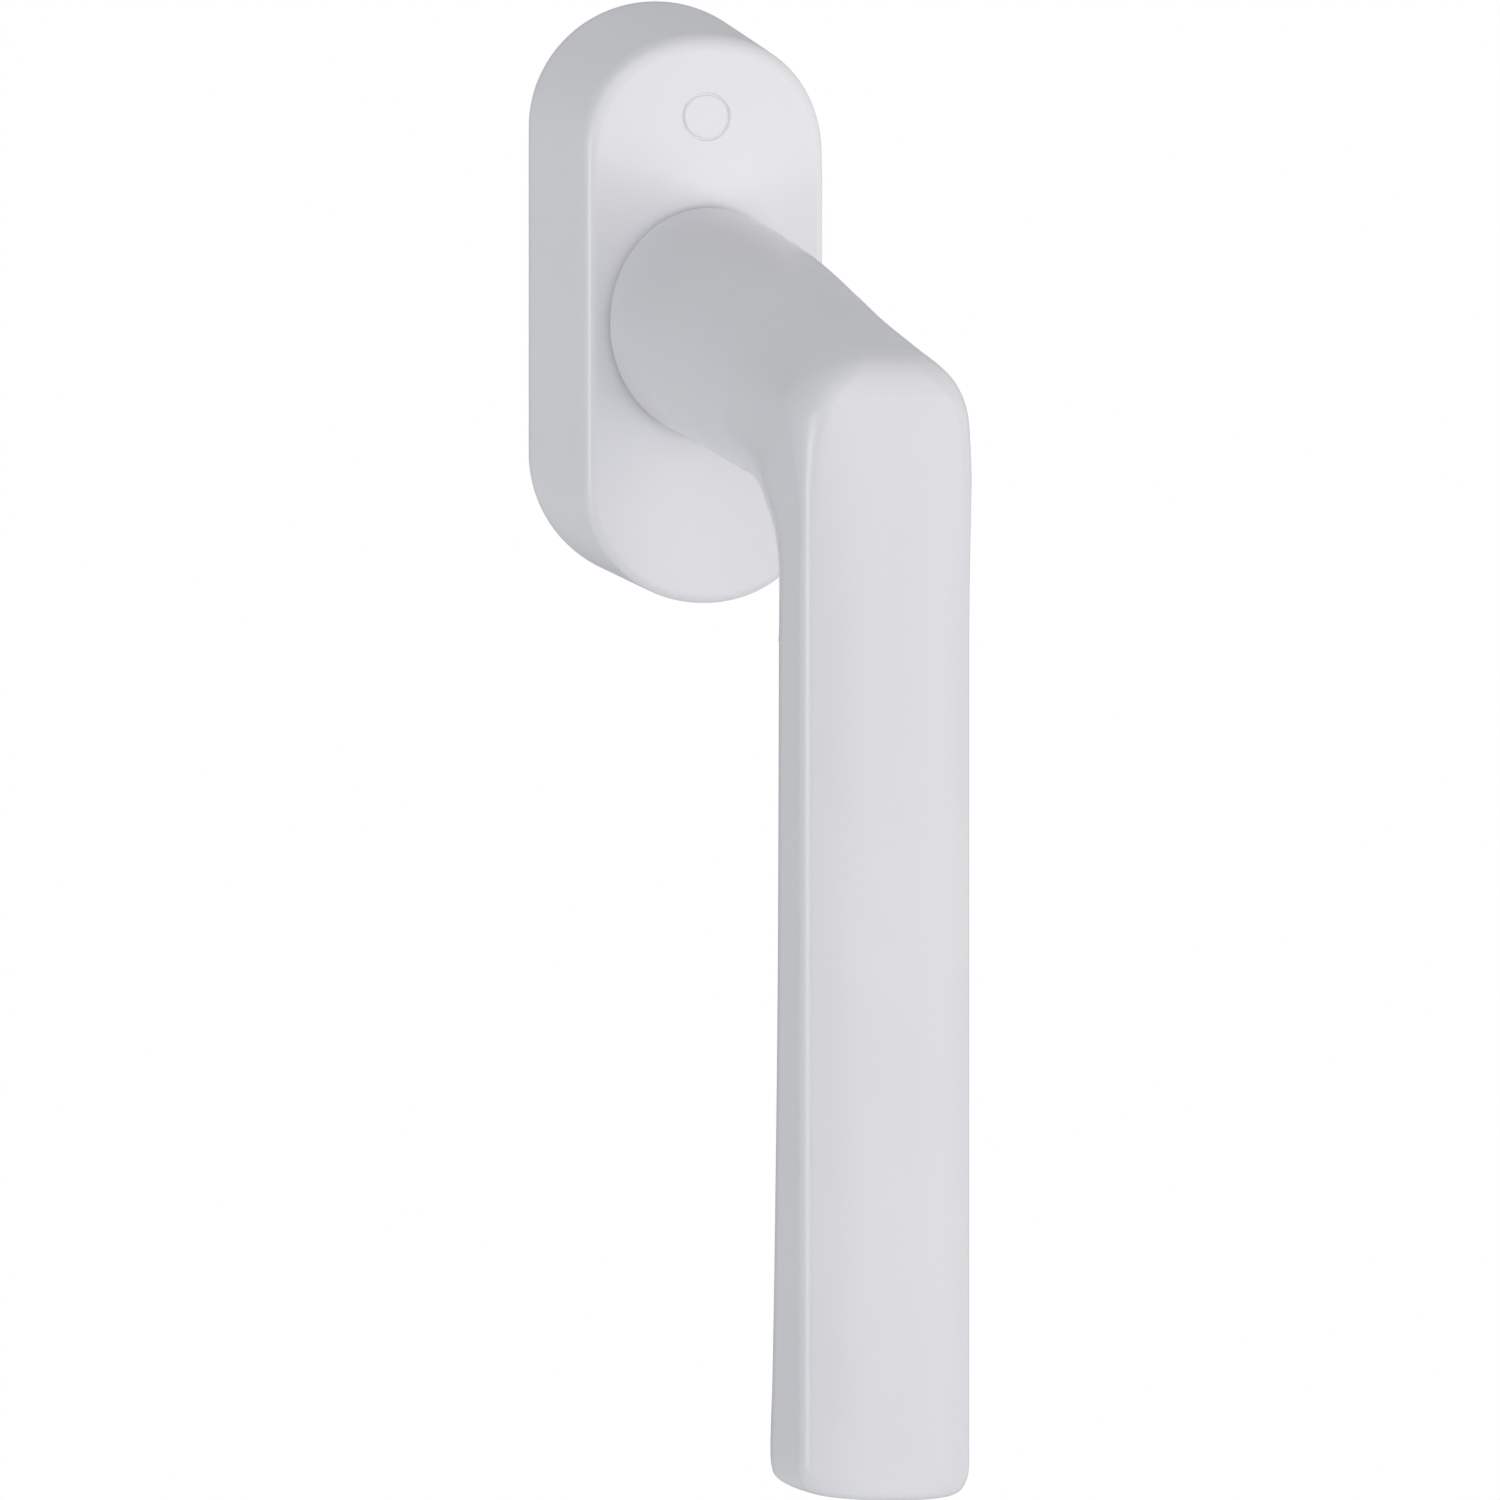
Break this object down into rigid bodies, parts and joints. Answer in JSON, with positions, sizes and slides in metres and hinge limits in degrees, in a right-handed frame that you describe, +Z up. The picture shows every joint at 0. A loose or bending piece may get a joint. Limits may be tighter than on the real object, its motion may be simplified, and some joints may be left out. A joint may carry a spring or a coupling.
{
  "type": "tilt turn window handle",
  "caption": "White lever handle on an oval rosette for a tilt-and-turn window, with a square spindle, detent mechanism and concealed fixing screws.",
  "frame": {"origin": "centre of the spindle's free end face; the sash face that the rosette sits on is the plane y = -0.025 m", "axes": "+Y out of the spindle's free end, into the sash, along the axis the handle turns on; +Z up, towards the rosette's upper screw; +X to the right as seen from the room. The grip hangs down, the closed position"},
  "size_m": [0.0306, 0.0853, 0.1567],
  "materials": {
    "white_coat": "satin white powder coat over aluminium, very fine texture",
    "white_cover": "satin white powder coat over aluminium, very fine texture",
    "zinc_casting": "bare die-cast zinc, matt",
    "spindle_steel": "zinc plated, drawn lines along the bar",
    "plate_steel": "zinc-plated sheet, brushed",
    "index_steel": "hardened steel, ground",
    "rivet_steel": "plain steel, upset head",
    "ball_steel": "polished bearing steel",
    "screw_steel": "zinc plated",
    "spring_steel": "spring steel, oiled",
    "nylon": "moulded nylon",
    "acetal": "natural acetal"
  },
  "bodies": {
    "rosette": {"base_plate": "zinc_casting", "back_plate": "plate_steel", "back_plate_rivet_left": "rivet_steel", "back_plate_rivet_right": "rivet_steel", "neck_bush": "nylon", "detent_spring_upper": "spring_steel", "detent_spring_lower": "spring_steel", "fixing_screw_upper": "screw_steel", "fixing_screw_lower": "screw_steel", "cover_clip_upper": "spring_steel", "cover_clip_lower": "spring_steel"},
    "cover": {"rose_cover": "white_cover"},
    "handle": {"lever": "white_coat", "spindle": "spindle_steel", "spindle_pin": "spring_steel", "index_disc": "index_steel", "retaining_ring": "spring_steel", "wave_washer": "spring_steel", "slide_washer": "acetal"},
    "detent_upper": {"detent_ball_upper": "ball_steel"},
    "detent_lower": {"detent_ball_lower": "ball_steel"}
  },
  "joints": [
    {"name": "handle_turn", "type": "hinge", "parent": "rosette", "child": "handle", "pos_m": [0, 0, 0], "axis": [0, 1, 0], "continuous": true},
    {"name": "cover_lift", "type": "slide", "parent": "rosette", "child": "cover", "axis": [0, -1, 0], "range_m": [0, 0.0005]},
    {"name": "detent_upper_drop", "type": "slide", "parent": "rosette", "child": "detent_upper", "axis": [0, 0, -1], "range_m": [0, 0.0008], "deforming": ["detent_spring_upper"]},
    {"name": "detent_lower_drop", "type": "slide", "parent": "rosette", "child": "detent_lower", "axis": [0, 0, 1], "range_m": [0, 0.0008], "deforming": ["detent_spring_lower"]}
  ]
}
